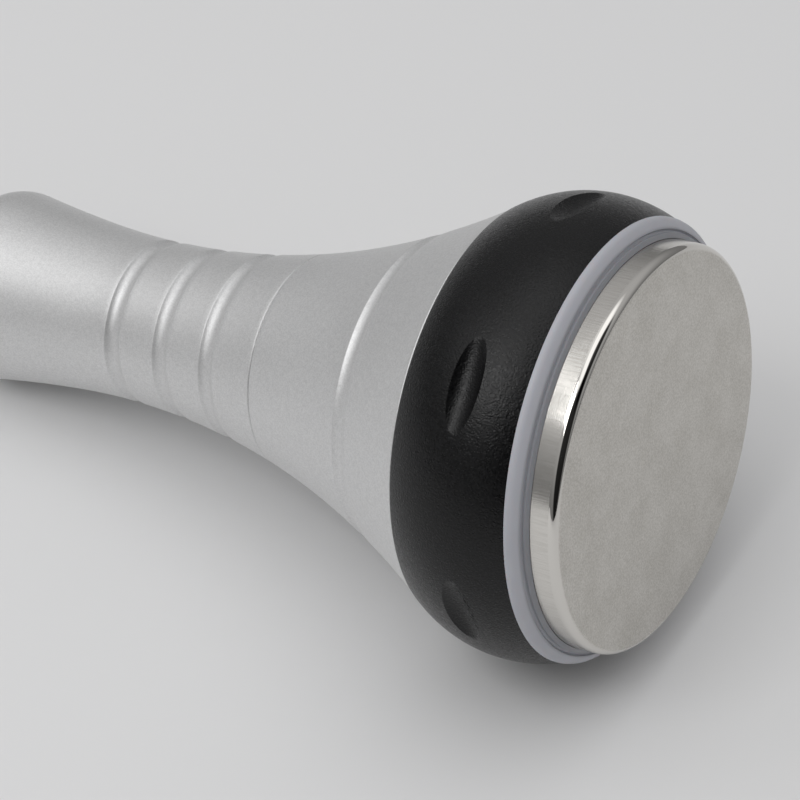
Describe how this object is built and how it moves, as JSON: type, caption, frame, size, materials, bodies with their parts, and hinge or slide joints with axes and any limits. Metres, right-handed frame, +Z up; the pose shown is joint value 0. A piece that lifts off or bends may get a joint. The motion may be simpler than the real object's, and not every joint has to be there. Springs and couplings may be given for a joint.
{
  "type": "ultrasonic cavitation handpiece",
  "caption": "Handheld ultrasonic body-care handpiece lying on its side: flared aluminium grip, black dimpled collar, and a round steel emitter face in a pale gasket.",
  "frame": {"origin": "on the plane it rests on, under the middle of its bounding box", "axes": "+Z up from the plane it rests on; +X along the handpiece from the tail to the emitter face, whose axis rises towards +X; +Y to the side, so that the part is symmetric about y = 0 but for its dimples and leads"},
  "size_m": [0.144, 0.069, 0.0684],
  "materials": {
    "body_aluminium": "satin bead-blasted",
    "collar_black": "fine-grained matt",
    "gasket_grey": "satin silicone",
    "emitter_steel": "satin face, polished edge",
    "mass_aluminium": "turned",
    "steel": "turned",
    "screw_steel": "dark plated",
    "seal_rubber": "matt",
    "piezo_ceramic": "matt ceramic",
    "electrode_brass": "satin",
    "sleeve_plastic": "matt",
    "solder": "bright",
    "lead_red": "satin",
    "lead_black": "satin",
    "connector_ivory": "matt",
    "gland_plastic": "fine matt"
  },
  "bodies": {
    "housing": {"handle_body": "body_aluminium", "bell_housing": "body_aluminium", "seam_o_ring": "seal_rubber", "collar_o_ring": "seal_rubber", "gland_body": "gland_plastic", "gland_washer": "seal_rubber", "gland_lock_nut": "gland_plastic", "gland_seal": "seal_rubber"},
    "head": {"emitter_disc": "emitter_steel", "face_gasket": "gasket_grey", "hub_o_ring": "seal_rubber", "thrust_ring": "steel", "thrust_screws": "screw_steel", "coupling_stud": "steel", "front_mass": "mass_aluminium", "piezo_ring_front": "piezo_ceramic", "live_electrode": "electrode_brass", "piezo_ring_rear": "piezo_ceramic", "return_electrode": "electrode_brass", "insulating_sleeve": "sleeve_plastic", "back_mass": "steel", "bolt_washer": "steel", "prestress_bolt": "screw_steel", "solder_joints": "solder", "live_lead": "lead_red", "return_lead": "lead_black", "lead_connector": "connector_ivory"},
    "collar": {"grip_collar": "collar_black"},
    "slip_ring": {"gland_slip_ring": "sleeve_plastic"},
    "nut": {"gland_nut": "gland_plastic"}
  },
  "joints": [
    {"name": "head_slide", "type": "slide", "parent": "housing", "child": "head", "axis": [0.9824, 0, 0.1869], "range_m": [0, 0.0045]},
    {"name": "collar_turn", "type": "hinge", "parent": "head", "child": "collar", "pos_m": [0.05166, 0, 0.03423], "axis": [0.9824, 0, 0.1869], "range_deg": [0, 1080]},
    {"name": "slip_slide", "type": "slide", "parent": "housing", "child": "slip_ring", "axis": [-0.9824, 0, -0.1869], "range_m": [0, 0.0045]},
    {"name": "nut_turn", "type": "hinge", "parent": "slip_ring", "child": "nut", "pos_m": [-0.06554, 0, 0.01193], "axis": [-0.9824, 0, -0.1869], "range_deg": [0, 1080]}
  ],
  "couplings": [
    {"joint": "collar_turn", "follows": "head_slide", "rad_per_m": 4188.8},
    {"joint": "nut_turn", "follows": "slip_slide", "rad_per_m": 4188.8}
  ]
}
